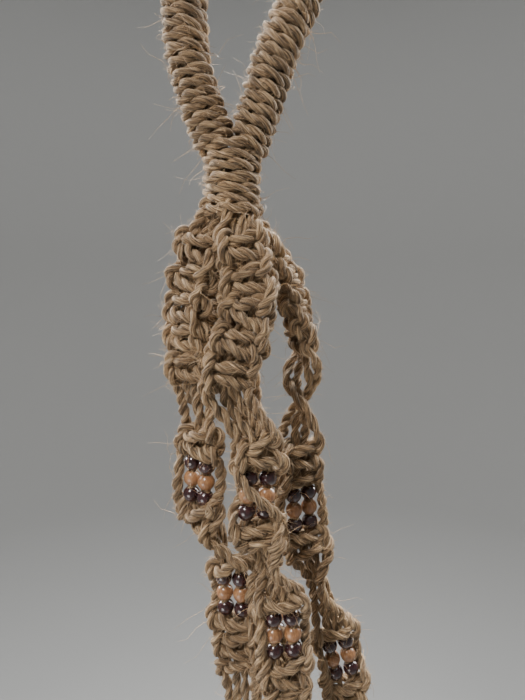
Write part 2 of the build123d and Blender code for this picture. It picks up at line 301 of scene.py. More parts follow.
def add_fuzz(build, line, per_mm, short=(0.9, 3.4), reach=CORD_D / 2, long_share=0.045):
    """Loose jute fibres standing off a cord."""
    p = resample(np.asarray(line, float), 0.7)
    t, n, b = carried_frames(p)
    count = int(per_mm * lengths(p)[-1])
    if count < 1:
        return
    at = rng.integers(0, len(p), count)
    a = rng.uniform(0, 2 * math.pi, count)
    out = np.cos(a)[:, None] * n[at] + np.sin(a)[:, None] * b[at]
    way = unit(t[at] * (rng.choice([-1, 1], count) * rng.uniform(0.2, 1.4, count))[:, None]
               + out * rng.uniform(0.25, 1.1, count)[:, None] + rng.normal(0, 0.25, (count, 3)))
    size = rng.uniform(*short, count)
    is_long = rng.random(count) < long_share
    size[is_long] = rng.uniform(4, 15, is_long.sum())
    begin = p[at] + out * (reach * 0.8)
    bend = unit(rng.normal(0, 1, (count, 3)) + np.array([0, 0, -0.35]))
    bend = bend * (size * rng.uniform(0.1, 0.8, count))[:, None]
    k = 5           # points along a fibre, with a triangle round each
    ts = np.linspace(0, 1, k)
    curl = unit(np.cross(way, rng.normal(0, 1, (count, 3)))) * (size * rng.uniform(0.04, 0.2, count))[:, None]
    pts = (begin[:, None, :] + way[:, None, :] * (size[:, None] * ts[None])[:, :, None]
           + bend[:, None, :] * (ts ** 2)[None, :, None] + curl[:, None, :] * np.sin(5.5 * ts)[None, :, None])
    kept = ((pts > ROOM[0]) & (pts < ROOM[1])).all(axis=(1, 2))
    pts, is_long, count = pts[kept], is_long[kept], int(kept.sum())
    tang = unit(np.gradient(pts, axis=1))
    ref = unit(np.cross(tang, np.array([0.31, 0.53, 0.79])))
    oth = np.cross(tang, ref)
    w = FIBRE_R * (1 - 0.75 * ts)[None, :, None, None] * np.where(is_long, 1.25, 1.0)[:, None, None, None]
    ring_a = np.arange(3) / 3 * 2 * math.pi
    rings = pts[:, :, None, :] + w * (np.cos(ring_a)[None, None, :, None] * ref[:, :, None, :]
                                      + np.sin(ring_a)[None, None, :, None] * oth[:, :, None, :])
    base = build.count
    build.v.append(rings.reshape(-1, 3))
    build.tone.append(np.repeat(rng.uniform(0.35, 1.0, count), k * 3))
    hair = np.arange(count)[:, None, None] * (k * 3)
    i = np.arange(k - 1)[None, :, None] * 3
    j = np.arange(3)[None, None, :]
    jn = (j + 1) % 3
    quad = np.stack([hair + i + j, hair + i + jn, hair + i + 3 + jn, hair + i + 3 + j], -1)
    quad = quad.reshape(-1, 4) + base
    build.f.append(quad)
    build.uv.append(np.tile([[0, 0], [0, 1], [1, 1], [1, 0]], (len(quad), 1)).astype(float))
    caps = np.concatenate([(np.arange(count)[:, None] * (k * 3) + np.array([2, 1, 0])),
                           (np.arange(count)[:, None] * (k * 3) + (k - 1) * 3 + np.array([0, 1, 2]))]) + base
    build.f.append(caps)
    build.uv.append(np.zeros((len(caps) * 3, 2)))
    build.count += count * k * 3


# ---------------------------------------------------------------- square knots

def knot_points(count, start, height, side, cords, loose=0.0):
    """Adds the worker cords' way through a run of half knots.
    Points are (across, out of the face, down). loose: how uneven the knots are."""
    front, behind = cords
    low = height / R
    for i in range(count):
        c = start + (i + 0.5 + loose * rng.uniform(-0.12, 0.12)) * height
        s = side * (1 + loose * rng.uniform(-0.12, 0.16))
        at = lambda x, y, z: (x * R, y * R, c + z * R)
        front += [at(s * 3.2, -0.7, 0.55), at(s * 1.7, 1.7, 0.4), at(0, 2.15, 0),
                  at(-s * 1.7, 1.8, -0.4), at(-s * 3.2, -0.4, -0.7),
                  at(-s * 4.1, -0.3, 0.2), at(-s * 4.1, -0.5, low - 1.3)]
        q = -s
        behind += [at(q * 3.4, 1.9, -0.2), at(q * 2.9, -0.4, 1.2), at(q * 1.6, -1.9, 0.6),
                   at(0, -2.15, 0), at(-q * 1.6, -1.9, -0.5), at(-q * 2.9, -0.3, -1.3),
                   at(-q * 3.4, 1.8, -0.2), (-q * 4.0 * R, 0.9 * R, c + 0.4 * height)]
        side = -side
    if loose:
        for line in cords:
            for k in range(len(line) - 15, len(line)):
                if k > 2:
                    line[k] = tuple(np.array(line[k]) + rng.normal(0, 0.3 * loose, 3))
    return side


def settle(lines, pins, rounds, gap):
    """Pushes crossing cords apart and keeps each one's length: a small rope relaxation."""
    p = np.vstack(lines)
    owner = np.concatenate([np.full(len(q), i) for i, q in enumerate(lines)])
    index = np.concatenate([np.arange(len(q)) for q in lines])
    fixed = np.concatenate(pins)
    joined = owner[1:] == owner[:-1]
    rest = np.linalg.norm(np.diff(p, axis=0), axis=1) * 0.985
    weight = np.where(fixed, 0.0, 1.0)
    for _ in range(rounds):
        order = np.argsort(p[:, 2], kind="stable")
        z = p[order, 2]
        for shift in range(1, 90):
            a, b = order[:-shift], order[shift:]
            near = (z[shift:] - z[:-shift]) < gap
            if not near.any():
                break
            a, b = a[near], b[near]
            apart = (owner[a] != owner[b]) | (np.abs(index[a] - index[b]) > 5)
            a, b = a[apart], b[apart]
            d = p[b] - p[a]
            l = np.linalg.norm(d, axis=1)
            hit = (l < gap) & (l > 1e-6)
            a, b, d, l = a[hit], b[hit], d[hit], l[hit]
            push = d / l[:, None] * ((gap - l) * 0.22)[:, None]
            np.add.at(p, a, -push * weight[a][:, None])
            np.add.at(p, b, push * weight[b][:, None])
        for _ in range(3):
            d = np.diff(p, axis=0)
            l = np.maximum(np.linalg.norm(d, axis=1), 1e-9)
            fix = d / l[:, None] * ((l - rest) * 0.45 * joined)[:, None]
            p[:-1] += fix * weight[:-1, None]
            p[1:] -= fix * weight[1:, None]
        inner = np.r_[False, joined[1:] & joined[:-1], False] & ~fixed
        middle = np.zeros_like(p)
        middle[1:-1] = (p[:-2] + p[2:]) / 2
        p[inner] += (middle[inner] - p[inner]) * 0.16
    return [p[owner == i] for i in range(len(lines))]


# ---------------------------------------------------------------- arms

def rim_place(arm):
    return neck + polar(RIM_R, arm["az"], RIM_Z) + drift


def arm_stations(arm):
    drops = [arm["sinnet"] * 0.47, arm["sinnet"] * 0.53, arm["open"], arm["upper"], BEAD_RUN,
             arm["middle"], BEAD_RUN, LOWER_KNOT_L, 0.0]
    z = NECK_BOTTOM - 6.0
    places = []
    for (x, y), drop in zip(arm["way"], drops):
        places.append(neck + np.array([x, y, z]))
        z -= drop
    hem = rim_place(arm) + np.array([0, 0, R + KNOT_DROP])
    return places, hem + np.array([0, 0, RIM_KNOT_L]), hem


def arm_frame(arm):
    """The arm's smooth middle line with its facing, and how far down each station lies."""
    places, rim_top, hem = arm_stations(arm)
    throat = neck + polar(PIVOT_R, arm["az"], NECK_BOTTOM - 1.8)
    inside = neck + polar(PIVOT_R - 1.2, arm["az"], NECK_BOTTOM + 6.0)
    stops = np.array([inside, throat] + places + [rim_top, hem, hem + np.array([0, 0, -6.0])])
    braid, high, low = arm["faces"]
    outwards = min((arm["az"] + k for k in (-360, 0, 360)), key=lambda a: abs(a - low))
    facings = [braid] * 5 + [high] * 3 + [low] * 3 + [outwards] * 3
    at = lengths(stops)
    s = np.arange(0, at[-1], 0.5)
    line = np.stack([np.interp(s, at, stops[:, k]) for k in range(3)], 1)
    face = np.interp(s, at, facings)
    # the line stays straight along the beads
    _, _, _, _, _, _, upper_end, beads_end, lower, lower_end, _, _, _, _ = at
    hold = ((s > upper_end - 0.3) & (s < beads_end + 0.3)) | ((s > lower - 0.3) & (s < lower_end + 0.3))
    line = smoothed(line, 110, hold)
    t = unit(np.gradient(line, axis=0))
    facing = np.stack([np.cos(np.radians(face)), np.sin(np.radians(face)), 0 * face], 1)
    across = unit(np.cross(facing, t))
    out = np.cross(t, across)
    return s, line, across, out, at


def to_world(local, frame_of_arm):
    s, line, across, out, _ = frame_of_arm
    pick = lambda q: np.stack([np.interp(local[:, 2], s, q[:, k]) for k in range(3)], 1)
    extra = (local[:, 2] - np.clip(local[:, 2], s[0], s[-1]))[:, None]
    x, y = unit(pick(across)), unit(pick(out))
    return pick(line) + x * local[:, :1] + y * local[:, 1:2] + np.array([0, 0, -1.0]) * extra


def worker_points(arm, at):
    """The two workers' points: knots down the arm, and the stretches beside the beads."""
    _, throat, top, _, end, upper, upper_end, beads_end, lower, lower_end, last, rim_top, rim_end, _ = at
    runs = [(top + 0.6, end, 10), (upper, upper_end, max(2, round((upper_end - upper) / 5.0))),
            (beads_end, beads_end + 2 * HALF_KNOT, 2), (lower - HALF_KNOT, lower, 1),
            (lower_end, last, 4), (rim_top, rim_end, 2)]
    front = [(-2.2, 1.2, 0.0), (-2.4, 1.0, throat - 2), (-4.2, 0.6, top - 2)]
    behind = [(2.2, -1.2, 0.0), (2.4, -1.0, throat - 2), (4.2, 0.9, top - 2)]
    beside = STRING_X + BEAD_D / 2 + R * 0.8
    over = BEAD_D / 2 + R + 0.7
    side = -1
    for k, (a, b, count) in enumerate(runs):
        loose = 0.5 if k == 5 else 1.0
        side = knot_points(count, a, (b - a) / count, side, (front, behind), loose=loose)
        if k in (0, 2, 4):
            gap = runs[k + 1][0] - b
            reach = 3.4 if k == 2 else 4.6
            for line, where in ((front, side), (behind, -side)):
                for f in ((0.5,) if gap < 7 else (0.3, 0.65)):
                    line.append((where * (reach + rng.normal(0, 0.6)), rng.normal(0, 1.2), b + gap * f))
        if k in (1, 3):
            level = "upper" if k == 1 else "lower"
            if level in arm["crossing"]:
                # the workers swap sides, one over the beads' face and one behind them
                for line, where, y in ((front, side, over), (behind, -side, -over)):
                    line.append((where * beside * 0.86, y * 0.82, b + BEAD_RUN * 0.2))
                    line.append((where * 0.8, y, b + BEAD_RUN * 0.5))
                    line.append((-where * beside * 0.86, y * 0.82, b + BEAD_RUN * 0.8))
                side = -side
            else:
                for line, where, y in ((front, side, 2.3), (behind, -side, -2.3)):
                    for f in (0.22, 0.5, 0.78):
                        line.append((where * beside, y, b + BEAD_RUN * f))
    for line, where in ((front, side), (behind, -side)):
        line.append((where * PIVOT_OUT, 0.6, rim_end + 1.0))
        line.append((where * PIVOT_OUT, 0.0, rim_end + 3.0))
    return front, behind


def filler_points(where, at):
    """One filler's points. where: -1 or 1, its side. It runs straight through its beads."""
    _, throat, top, _, end, upper, upper_end, beads_end, lower, lower_end, last, rim_top, rim_end, _ = at
    pts = [(where * 1.4, -0.9 * where, 0.0), (where * 1.7, 0, throat)]
    pts += [(where * R, 0, s) for s in np.linspace(top + 1, end - 1, 8)]
    for f in (0.35, 0.7):
        pts.append((where * (1.95 + rng.normal(0, 0.3)), rng.normal(0, 1.3), end + (upper - end) * f))
    pts += [(where * (R + 0.2), 0, upper + 1), (where * 2.3, 0, upper_end - 3)]
    pts += [(where * STRING_X, 0, s) for s in np.linspace(upper_end, beads_end, 4)]
    pts.append((where * 2.0, 0, beads_end + 3.5))
    between = (beads_end + lower + HALF_KNOT) / 2
    pts.append((where * (1.5 + rng.normal(0, 0.3)), rng.normal(0, 0.9), between))
    pts.append((where * 2.0, 0, lower - 3.5))
    pts += [(where * STRING_X, 0, s) for s in np.linspace(lower, lower_end, 4)]
    pts += [(where * 2.2, 0, lower_end + 3), (where * R, 0, last - 1)]
    for f in (0.33, 0.66):
        pts.append((where * (1.95 + rng.normal(0, 0.5)), rng.normal(0, 1.6), last + (rim_top - last) * f))
    pts += [(where * R, 0, rim_top), (where * R, 0, rim_end), (where * R, 0, rim_end + 3.0)]
    return pts


def arm_cords(arm):
    """The arm's two fillers and two workers, from inside the neck to the rim pivots."""
    fr = arm_frame(arm)
    at = fr[4]
    _, _, top, _, end, _, upper_end, beads_end, lower, lower_end, last, rim_top, _, _ = at
    front, behind = worker_points(arm, at)
    lines = [curved(filler_points(where, at), CORD_STEP) for where in (-1, 1)]
    lines += [curved(front, CORD_STEP), curved(behind, CORD_STEP)]
    pins = []
    for i, q in enumerate(lines):
        pin = np.zeros(len(q), bool)
        pin[:3] = pin[-3:] = True
        if i < 2:
            for a, b in ((upper_end, beads_end), (lower, lower_end)):
                pin |= (q[:, 2] > a) & (q[:, 2] < b)
        pins.append(pin)
    lines = settle(lines, pins, 60, CORD_D * 0.88)
    turns = ((top, end, 26), (beads_end, lower, 75), (last, rim_top, -30))
    return [to_world(twisted(curved(q[::2], 0.6), turns), fr) for q in lines]


def twisted(local, spans):
    """Turns a run about its own line, most in its middle: a worked cord never hangs flat."""
    turn = np.zeros(len(local))
    for a, b, degrees in spans:
        inside = (local[:, 2] > a) & (local[:, 2] < b)
        turn += inside * np.radians(degrees) * np.sin(math.pi * (local[:, 2] - a) / (b - a)) ** 2
    x, y = local[:, 0], local[:, 1]
    return np.stack([x * np.cos(turn) - y * np.sin(turn),
                     x * np.sin(turn) + y * np.cos(turn), local[:, 2]], 1)


# ---------------------------------------------------------------- materials

def add_nodes(mat):
    mat.use_nodes = True
    tree = mat.node_tree
    for node in list(tree.nodes):
        tree.nodes.remove(node)
    out = tree.nodes.new("ShaderNodeOutputMaterial")
    shader = tree.nodes.new("ShaderNodeBsdfPrincipled")
    tree.links.new(shader.outputs[0], out.inputs[0])
    return tree, shader


def node(tree, kind, **values):
    n = tree.nodes.new(kind)
    for key, value in values.items():
        if key in n.inputs:
            n.inputs[key].default_value = value
        else:
            setattr(n, key, value)
    return n


def ramp(tree, source, stops):
    r = tree.nodes.new("ShaderNodeValToRGB")
    while len(r.color_ramp.elements) < len(stops):
        r.color_ramp.elements.new(0.5)
    for element, (place, colour) in zip(r.color_ramp.elements, stops):
        element.position = place
        element.color = (*colour, 1)
    tree.links.new(source, r.inputs[0])
    return r


def multiplied(tree, first, second):
    """The output of two colours multiplied."""
    mix = node(tree, "ShaderNodeMix", data_type="RGBA", blend_type="MULTIPLY")
    mix.inputs["Factor"].default_value = 1.0
    tree.links.new(first, mix.inputs["A"])
    tree.links.new(second, mix.inputs["B"])
    return mix.outputs["Result"]


def jute_material(name, painted_light_factor=1.0, hair=False):
    mat = bpy.data.materials.new(name)
    tree, shader = add_nodes(mat)
    link = tree.links.new
    uv = node(tree, "ShaderNodeUVMap", uv_map="UVMap")
    stretch = node(tree, "ShaderNodeMapping")
    stretch.inputs["Scale"].default_value = (1.1, 5.5, 1.0)
    link(uv.outputs[0], stretch.inputs[0])
    streaks = node(tree, "ShaderNodeTexNoise", Scale=2.2, Detail=7.0, Roughness=0.66)
    link(stretch.outputs[0], streaks.inputs["Vector"])
    place = node(tree, "ShaderNodeTexCoord")
    patches = node(tree, "ShaderNodeTexNoise", Scale=95.0, Detail=3.0, Roughness=0.6)
    link(place.outputs["Object"], patches.inputs["Vector"])
    tone = node(tree, "ShaderNodeAttribute", attribute_name="tone")
    # The factor scales the whole colour ramp: below 1 it paints shade on the jute, above 1 it paints light.
    base = ramp(tree, streaks.outputs["Fac"], [
        (0.34, tuple(painted_light_factor * c for c in (0.035, 0.021, 0.011))),
        (0.44, tuple(painted_light_factor * c for c in (0.165, 0.108, 0.060))),
        (0.54, tuple(painted_light_factor * c for c in (0.390, 0.275, 0.160))),
        (0.66, tuple(painted_light_factor * c for c in (0.780, 0.630, 0.430)))])
    tint = ramp(tree, patches.outputs["Fac"], [(0.3, (0.66, 0.60, 0.55)), (0.7, (1.16, 1.10, 1.02))])
    by_tone = ramp(tree, tone.outputs["Fac"], [(0.0, (0.74, 0.72, 0.70)), (1.0, (1.2, 1.18, 1.14))])
    tinted = multiplied(tree, base.outputs[0], tint.outputs[0])
    link(multiplied(tree, tinted, by_tone.outputs[0]), shader.inputs["Base Color"])
    shader.inputs["Roughness"].default_value = 0.72 if not hair else 0.5
    shader.inputs["Specular IOR Level"].default_value = 0.35
    shader.inputs["Sheen Weight"].default_value = 0.35
    shader.inputs["Sheen Roughness"].default_value = 0.4
    shader.inputs["Sheen Tint"].default_value = (1.0, 0.88, 0.7, 1)
    if not hair:
        bump = node(tree, "ShaderNodeBump", Strength=1.0, Distance=0.0012)
        link(streaks.outputs["Fac"], bump.inputs["Height"])
        link(bump.outputs[0], shader.inputs["Normal"])
    return mat


def wood_material(name, dark, mid, light, rough, coat):
    mat = bpy.data.materials.new(name)
    tree, shader = add_nodes(mat)
    link = tree.links.new
    place = node(tree, "ShaderNodeTexCoord")
    stretch = node(tree, "ShaderNodeMapping")
    stretch.inputs["Scale"].default_value = (1.0, 1.0, 0.16)
    stretch.inputs["Rotation"].default_value = (0.5, 0.3, 0.0)
    link(place.outputs["Object"], stretch.inputs[0])
    grain = node(tree, "ShaderNodeTexNoise", Scale=1500.0, Detail=6.0, Roughness=0.6, Distortion=0.6)
    link(stretch.outputs[0], grain.inputs["Vector"])
    cloud = node(tree, "ShaderNodeTexNoise", Scale=260.0, Detail=2.0)
    link(place.outputs["Object"], cloud.inputs["Vector"])
    base = ramp(tree, grain.outputs["Fac"], [(0.3, dark), (0.52, mid), (0.72, light)])
    wear = ramp(tree, cloud.outputs["Fac"], [(0.3, (0.72, 0.72, 0.72)), (0.7, (1.15, 1.15, 1.15))])
    link(multiplied(tree, base.outputs[0], wear.outputs[0]), shader.inputs["Base Color"])
    gloss = ramp(tree, cloud.outputs["Fac"], [(0.3, (rough,) * 3), (0.75, (rough + 0.16,) * 3)])
    link(gloss.outputs[0], shader.inputs["Roughness"])
    shader.inputs["Coat Weight"].default_value = coat
    shader.inputs["Coat Roughness"].default_value = 0.07
    bump = node(tree, "ShaderNodeBump", Strength=0.18, Distance=0.00015)
    link(grain.outputs["Fac"], bump.inputs["Height"])
    link(bump.outputs[0], shader.inputs["Normal"])
    return mat


jute = jute_material("jute")
# The core cords' jute is darkened to 0.55: painted shade for the cords lying inside the loop and neck
# wrapping.
jute_core_painted_shade = jute_material("jute_core_painted_shade", 0.55)
# The fibres' jute is lightened 1.7 times: a painted glow, as if the loose fibres were lit from behind.
jute_hair_painted_glow = jute_material("jute_hair_painted_glow", 1.7, hair=True)
dark_bead = wood_material("dark_bead",
                          (0.012, 0.003, 0.004), (0.034, 0.008, 0.010), (0.080, 0.020, 0.020), 0.2, 1.0)
natural_bead = wood_material("natural_bead",
                             (0.200, 0.088, 0.034), (0.340, 0.162, 0.070), (0.480, 0.260, 0.120), 0.3, 0.6)


def finish_rope(build, name, body, replaced=(), material=None):
    obj = build.make(name, material or jute)
    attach(obj, body)
    if replaced:
        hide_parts(*replaced)
    return obj


def finish_fuzz(build, name, body):
    if build.count:
        # The fibres take the lightened jute: a painted glow of fibres lit from behind.
        finish_rope(build, name, body, material=jute_hair_painted_glow)


FUZZ = 1.0


# ---------------------------------------------------------------- loop and neck

def arc_path(corners, radii):
    """Straight runs joined by tangent arcs, in the XZ plane."""
    pts = [np.array([x, 0.0, z]) for x, z in corners]
    line = [pts[0]]
    for a, b, c, r in zip(pts, pts[1:], pts[2:], radii):
        u, w = unit(a - b), unit(c - b)
        half = math.acos(np.clip(u @ w, -1, 1)) / 2
        reach = r / math.tan(half)
        centre = b + unit(u + w) * (r / math.sin(half))
        p, q = b + u * reach - centre, b + w * reach - centre
        turn = math.acos(np.clip((p @ q) / r ** 2, -1, 1))
        for t in np.linspace(0, 1, 24):
            line.append(centre + (math.sin((1 - t) * turn) * p + math.sin(t * turn) * q) / math.sin(turn))
    line.append(pts[-1])
    return np.array(line)


right_top = RIGHT_LEG_X + (LOOP_H - RIGHT_LEG_Z) * math.tan(math.radians(RIGHT_LEAN))
LOOP = arc_path([(NECK_X + x, NECK_TOP + z) for x, z in (
    (-4.3, 0), (-9.2, 11), (LEFT_LEG_X, 30), (LEFT_LEG_X, LOOP_H), (right_top, LOOP_H),
    (RIGHT_LEG_X, RIGHT_LEG_Z), (8.6, 11), (4.3, 0))],
    [60, 50, 18.95, 18.95, 60, 60])
LOOP = resample(LOOP, 0.6)


def wrap_round(path, radius, pitch, start=0.0, lean=0.0):
    """A cord wound round a path. lean tips each turn over like a belt pulled to one side."""
    _, n, b = carried_frames(path, (0, 1, 0))
    s = lengths(path)
    turns = s[-1] / pitch
    k = np.linspace(0, 1, int(turns * 56))
    at = k * s[-1]
    a = start + k * turns * 2 * math.pi
    a += 0.10 * np.sin(at / 7.0 + 1.0)
    shift = at + lean * np.sin(a) + 0.22 * np.sin(at / pitch * 1.7 + np.sin(at / 9.0) * 2)
    pick = lambda q, where: np.stack([np.interp(where, s, q[:, i]) for i in range(3)], 1)
    where = np.clip(shift, 0, s[-1])
    swell = 1 + 0.022 * np.sin(at / 5.3) + 0.015 * np.sin(at / 1.9)
    return (pick(path, where) + (radius * swell * np.cos(a))[:, None] * pick(n, where)
            + (radius * swell * np.sin(a))[:, None] * pick(b, where))


def squeeze_crotch(p, side):
    """Low down the legs press flat against each other."""
    q = p.copy()
    low = q[:, 2] < NECK_TOP + 16
    x = (q[:, 0] - NECK_X) * side
    x = np.where(low & (x < R * 0.9), R * 0.9 + (x - R * 0.9) * 0.12, x)
    q[:, 0] = np.where(low, NECK_X + side * x, q[:, 0])
    return q


def upright(x, heights):
    """A straight line down, in the middle of a wrapped bundle."""
    return np.array([[x, 0, z] for z in heights])


def make_loop(fuzz):
    """The hanging loop: its wrapping cord, and the folded cords inside it."""
    coil = wrap_round(LOOP[LOOP[:, 2] > NECK_TOP + 0.6], LOOP_COIL_R, LOOP_COIL_PITCH, lean=0.9)
    half = len(coil) // 2
    coil = np.vstack([squeeze_crotch(coil[:half], -1), squeeze_crotch(coil[half:], 1)])
    coil = smoothed(coil, 2)
    rope = Builder()
    add_rope(rope, coil, 3.85, lay=13.5, step=0.7, sides=8)
    finish_rope(rope, "loop_wrapping_cord", "hanger", ["loop_wrap"])
    add_fuzz(fuzz, coil, 3.0 * FUZZ)
    core = Builder()
    _, n, b = carried_frames(LOOP, (0, 1, 0))
    for i in range(8):
        a = i / 8 * 2 * math.pi
        r = 1.2 if i < 2 else 2.35
        add_rope(core, LOOP + r * (math.cos(a) * n + math.sin(a) * b), 2.9, step=1.6, sides=6)
    # The core cords take the darkened jute: painted shade inside the wrapping.
    finish_rope(core, "loop_core_cords", "hanger", ["loop_core"], material=jute_core_painted_shade)


def make_wrap(name, body, replaced, turns, last, fuzz, fibres, **look):
    """A wrapping cord: its turns, and a last turn that lies outside them."""
    rope = Builder()
    add_rope(rope, turns, WRAP_D, lay=WRAP_LAY, **look)
    add_rope(rope, last, LAST_TURN_D, lay=WRAP_LAY, **look)
    finish_rope(rope, name, body, replaced)
    add_fuzz(fuzz, turns, fibres * FUZZ)
    add_fuzz(fuzz, last, fibres * FUZZ)


def make_neck(fuzz):
    """The gathering wrap at the neck and the ends of the cords inside it."""
    middle = upright(NECK_X, np.linspace(NECK_TOP + 0.9, NECK_BOTTOM + 2.2, 60))
    hem = upright(NECK_X, np.linspace(NECK_BOTTOM + 2.2, NECK_BOTTOM + 1.5, 20))
    turns = wrap_round(middle, BUNDLE_COIL_R, 3.42, start=2.4, lean=0.5)
    last = wrap_round(hem, 8.5, LAST_TURN_PITCH, start=0.3)
    make_wrap("neck_wrapping_cord", "hanger", ["neck_wrap"], turns, last, fuzz, 3.0, step=0.62, sides=9)
    core = Builder()
    for i in range(16):
        r, a = (2.3, i * 90 + 20) if i % 4 == 0 else (5.2, i * 22.5)
        line = [neck + polar(r, a, z) for z in np.linspace(NECK_TOP + 1.5, NECK_BOTTOM + 0.4, 8)]
        add_rope(core, line, 3.1, step=1.4, sides=6)
    # The core cords take the darkened jute: painted shade inside the wrapping.
    finish_rope(core, "neck_core_cords", "hanger", ["neck_core"], material=jute_core_painted_shade)


hanger_fuzz = Builder()
make_loop(hanger_fuzz)
make_neck(hanger_fuzz)
finish_fuzz(hanger_fuzz, "hanger_fibres", "hanger")


# ---------------------------------------------------------------- arms and beads

def bead_rings(centre, axis):
    """A round bead with its bore: rings from the bore, over the outside and back."""
    r, bore = BEAD_D / 2, BEAD_BORE_D / 2
    tip = math.asin(bore / r)
    polar_angles = np.linspace(tip + 0.06, math.pi - tip - 0.06, 25)
    profile = [(bore, math.cos(tip) * r * 0.93), (bore + 0.08, math.cos(tip) * r * 0.985)]
    profile += [(math.sin(a) * r, math.cos(a) * r) for a in polar_angles]
    profile += [(bore + 0.08, -math.cos(tip) * r * 0.985), (bore, -math.cos(tip) * r * 0.93)]
    profile += [(bore, h) for h in np.linspace(-0.6, 0.6, 3) * r * 0.9]
    profile.append(profile[0])
    x = unit(np.cross(axis, [0.3, 0.9, 0.2]))
    y = np.cross(axis, x)
    k = 32
    a = np.arange(k) / k * 2 * math.pi
    circle = np.cos(a)[:, None] * x + np.sin(a)[:, None] * y
    return np.array([centre + axis * h + q * circle for q, h in profile])


def add_bead(build, centre, axis):
    rings = bead_rings(centre, axis)[::-1]
    n, k, _ = rings.shape
    build.tube(rings, np.linspace(0, 1, n), 0.5, closed_ends=False)
    # the first and last rings are the same circle
    faces = build.f[-1]
    base = build.count - n * k
    build.f[-1] = np.where(faces >= base + (n - 1) * k, faces - (n - 1) * k, faces)


def islands(obj):
    """The solids of a CAD node: one array of points for each."""
    co = np.array([v.co for v in obj.data.vertices]) / MM
    keys, inverse = np.unique(np.round(co, 3), axis=0, return_inverse=True)
    inverse = inverse.reshape(-1)
    root = np.arange(len(keys))
    edges = inverse[np.array([e.vertices[:] for e in obj.data.edges])]
    for _ in range(200):
        low = np.minimum(root[edges[:, 0]], root[edges[:, 1]])
        before = root.copy()
        np.minimum.at(root, edges[:, 0], low)
        np.minimum.at(root, edges[:, 1], low)
        root = root[root]
        if (before == root).all():
            break
    return [keys[root == r] for r in np.unique(root)]


def make_arm(arm):
    """One arm's four cords and their fibres."""
    body = "arm_" + arm["name"]
    fuzz = Builder()
    nodes = ["%s_%s" % (body, part) for part in ("sinnet", "bead_knots", "cords", "rim_knot")]
    looks = (("filler_a", CORD_D, 1.5), ("filler_b", CORD_D, 1.5),
             ("worker_a", WORKER_D, 4.0), ("worker_b", WORKER_D, 4.0))
    for (label, diameter, fibres), line in zip(looks, arm_cords(arm)):
        rope = Builder()
        add_rope(rope, line, diameter)
        finish_rope(rope, "%s_%s" % (body, label), body, nodes)
        add_fuzz(fuzz, line, fibres * FUZZ)
    finish_fuzz(fuzz, body + "_fibres", body)


def make_beads(arm):
    """The arm's four strings of three beads, where their CAD solids are."""
    for level in ("upper", "lower"):
        for side in ("a", "b"):
            cad = "beads_%s_%s_%s" % (arm["name"], level, side)
            centres = sorted([p.mean(0) for p in islands(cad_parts[cad])], key=lambda c: -c[2])
            axis = unit(centres[-1] - centres[0])
            for colour, which, material in (("dark", (0, 2), dark_bead), ("natural", (1,), natural_bead)):
                beads = Builder()
                for i in which:
                    add_bead(beads, centres[i], axis)
                finish_rope(beads, cad + "_" + colour, cad, [cad], material)


for arm in ARMS:
    make_arm(arm)
    make_beads(arm)


# ---------------------------------------------------------------- net

BURIED = np.array([0, 0, -6.8])     # how far a slanting cord's end reaches past its pivot


def slack_run(start, end, sway):
    """A hanging run that wanders a little from the straight line."""
    t = np.linspace(0, 1, 14)[:, None]
    side = rng.normal(0, 1, 3) * np.array([1, 1, 0])
    wave = np.sin(t * math.pi) * np.sin(t * math.pi * 2.3 + rng.uniform(0, 6))
    return curved(start + (end - start) * t + side * wave * sway, 0.8)


def make_slants(arm):
    """The two slanting pairs that leave an arm's rim knot."""
    for side, word in ((1, "ahead"), (-1, "behind")):
        quarter = arm["az"] + 45 * side
        top = rim_place(arm) + polar(PIVOT_OUT * side, arm["az"] + 90)
        low = neck + polar(NET_R, quarter, NET_Z) + drift - polar(NET_OUT * side, quarter + 90)
        rope, fuzz = Builder(), Builder()
        for s in (-1, 1):
            apart = polar(PAIR * s, quarter)
            # both ends are buried in their knots, so the run stays joined as it swings
            line = slack_run(top + apart * 0.9 - BURIED, low + apart * 0.9 + BURIED, 0.5)
            add_rope(rope, line, CORD_D)
            add_fuzz(fuzz, line, 1.2 * FUZZ)
        body = "slant_%s_%s" % (arm["name"], word)
        finish_rope(rope, body + "_cords", body, [body])
        finish_fuzz(fuzz, body + "_fibres", body)


def net_knot_lines():
    """The four cords of a net knot, and the side that the front worker ends on."""
    deep, end = NET_KNOT_L + 1.0, NET_KNOT_L + 4.0
    front = [(-3.0, 0.6, -2.8), (-3.6, 0.6, -1.6)]
    behind = [(3.0, -0.6, -2.8), (3.6, 0.4, -1.6)]
    side = knot_points(2, 0.0, NET_KNOT_L / 2, -1, (front, behind))
    for line, where in ((front, side), (behind, -side)):
        line.append((where * 3.7, -0.65, NET_KNOT_L + 1.5))
        line.append((where * 3.7, -0.65, end))
    left = [(-R, 0.2, -2.8), (-R, 0, NET_KNOT_L * 0.5), (0, 1.65 - 0.3, deep), (0, 1.65, end)]
    right = [(R, -0.2, -2.8), (R, 0, NET_KNOT_L * 0.5), (0, -2.95, deep), (0, -2.95, end)]
    lines = [curved(points, CORD_STEP) for points in (left, right, front, behind)]
    pins = []
    for q in lines:
        pin = np.zeros(len(q), bool)
        pin[:2] = pin[-3:] = True
        pins.append(pin)
    return settle(lines, pins, 50, CORD_D * 0.84), side


